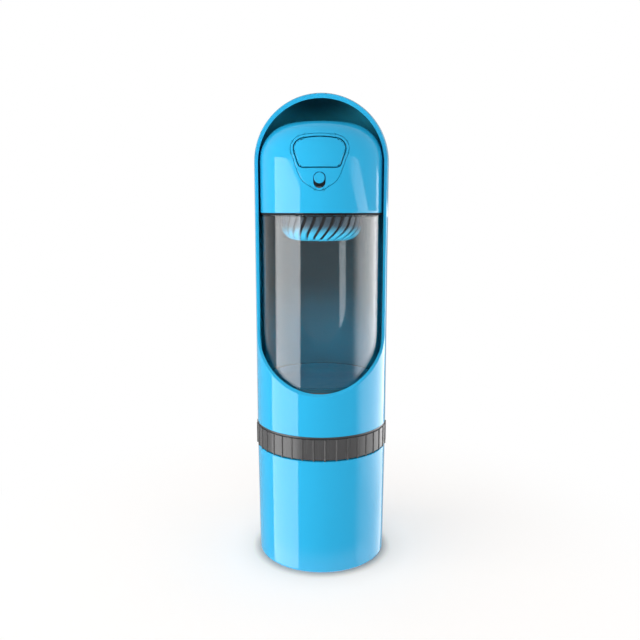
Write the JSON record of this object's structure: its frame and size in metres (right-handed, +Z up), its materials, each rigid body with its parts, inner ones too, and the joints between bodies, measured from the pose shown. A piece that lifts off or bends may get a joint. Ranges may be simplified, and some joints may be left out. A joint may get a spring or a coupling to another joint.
{
  "type": "dog travel water bottle",
  "caption": "clear water bottle with a push-button head in a hooded sleeve that is the drinking trough, standing on a food cup joined by a ribbed twist ring",
  "frame": {"origin": "centre of the flat base, on the surface it stands on", "axes": "+Z up along the bottle, -Y the front with the push button and the window, +X to the right seen from the front"},
  "size_m": [0.0752, 0.075, 0.26],
  "materials": {
    "blue_plastic": "glossy injection-moulded sky-blue plastic",
    "dark_plastic": "dark grey moulded plastic",
    "grip_rubber": "satin dark grey soft-touch rubber with ribs",
    "seal_rubber": "black silicone rubber",
    "seat_pad": "brown-grey soft pad",
    "smoke_clear": "smoke-tinted clear copolyester",
    "white_plastic": "off-white moulded plastic, inside the head",
    "steel": "stainless steel",
    "carbon": "black carbon-filled fibre"
  },
  "bodies": {
    "food_cup_body": {"food_cup": "blue_plastic"},
    "deck_body": {"base_deck": "dark_plastic", "food_lid": "dark_plastic", "food_seal": "seal_rubber", "bottle_seat": "seat_pad"},
    "ring_body": {"bayonet_ring": "dark_plastic", "grip_ring": "grip_rubber"},
    "bottle_body": {"water_bottle": "smoke_clear"},
    "gasket_body": {"seam_gasket": "seal_rubber"},
    "head_body": {"valve_housing": "white_plastic", "neck_washer": "seal_rubber", "head_cover": "blue_plastic", "control_panel": "blue_plastic", "retainer_frame": "white_plastic", "frame_screws": "steel", "stem_seal": "seal_rubber", "valve_spring": "steel", "outlet_spout": "seal_rubber", "vent_valve": "seal_rubber", "trough_seal": "seal_rubber"},
    "button_body": {"release_button": "blue_plastic"},
    "stem_body": {"valve_stem": "white_plastic", "valve_seal": "seal_rubber"},
    "lock_body": {"lock_slider": "blue_plastic"},
    "filter_body": {"filter_basket": "blue_plastic", "filter_cartridge": "carbon", "filter_cap": "dark_plastic"},
    "sleeve_body": {"outer_sleeve": "blue_plastic"}
  },
  "joints": [
    {"name": "cup_release", "type": "slide", "parent": "food_cup_body", "child": "deck_body", "axis": [0, 0, 1], "range_m": [0, 0.075]},
    {"name": "ring_twist", "type": "hinge", "parent": "deck_body", "child": "ring_body", "pos_m": [0, 0, 0.071], "axis": [0, 0, 1], "range_deg": [0, 45]},
    {"name": "bottle_lift", "type": "slide", "parent": "deck_body", "child": "bottle_body", "axis": [0, 0, 1], "range_m": [0, 0.03]},
    {"name": "head_rise", "type": "slide", "parent": "bottle_body", "child": "gasket_body", "axis": [0, 0, 1], "range_m": [0, 0.0031]},
    {"name": "head_turn", "type": "hinge", "parent": "gasket_body", "child": "head_body", "pos_m": [0, 0, 0.2], "axis": [0, 0, 1], "range_deg": [0, 90]},
    {"name": "button_press", "type": "slide", "parent": "head_body", "child": "button_body", "axis": [0, 1, 0], "range_m": [0, 0.003], "stiffness_N_per_m": 400, "springref_m": -0.001},
    {"name": "valve_travel", "type": "slide", "parent": "head_body", "child": "stem_body", "axis": [0, 0, -1], "range_m": [0, 0.003], "deforming": ["valve_spring"]},
    {"name": "lock_slide", "type": "slide", "parent": "head_body", "child": "lock_body", "axis": [0, 0, -1], "range_m": [0, 0.002]},
    {"name": "filter_pull", "type": "slide", "parent": "head_body", "child": "filter_body", "axis": [0, 0, -1], "range_m": [0, 0.03]},
    {"name": "sleeve_lift", "type": "slide", "parent": "deck_body", "child": "sleeve_body", "axis": [0, 0, 1], "range_m": [0, 0.19]}
  ],
  "couplings": [
    {"joint": "head_rise", "follows": "head_turn", "m_per_rad": 0.0019099},
    {"joint": "valve_travel", "follows": "button_press", "ratio": 1},
    {"joint": "bottle_lift", "follows": "sleeve_lift", "ratio": 0.15}
  ]
}
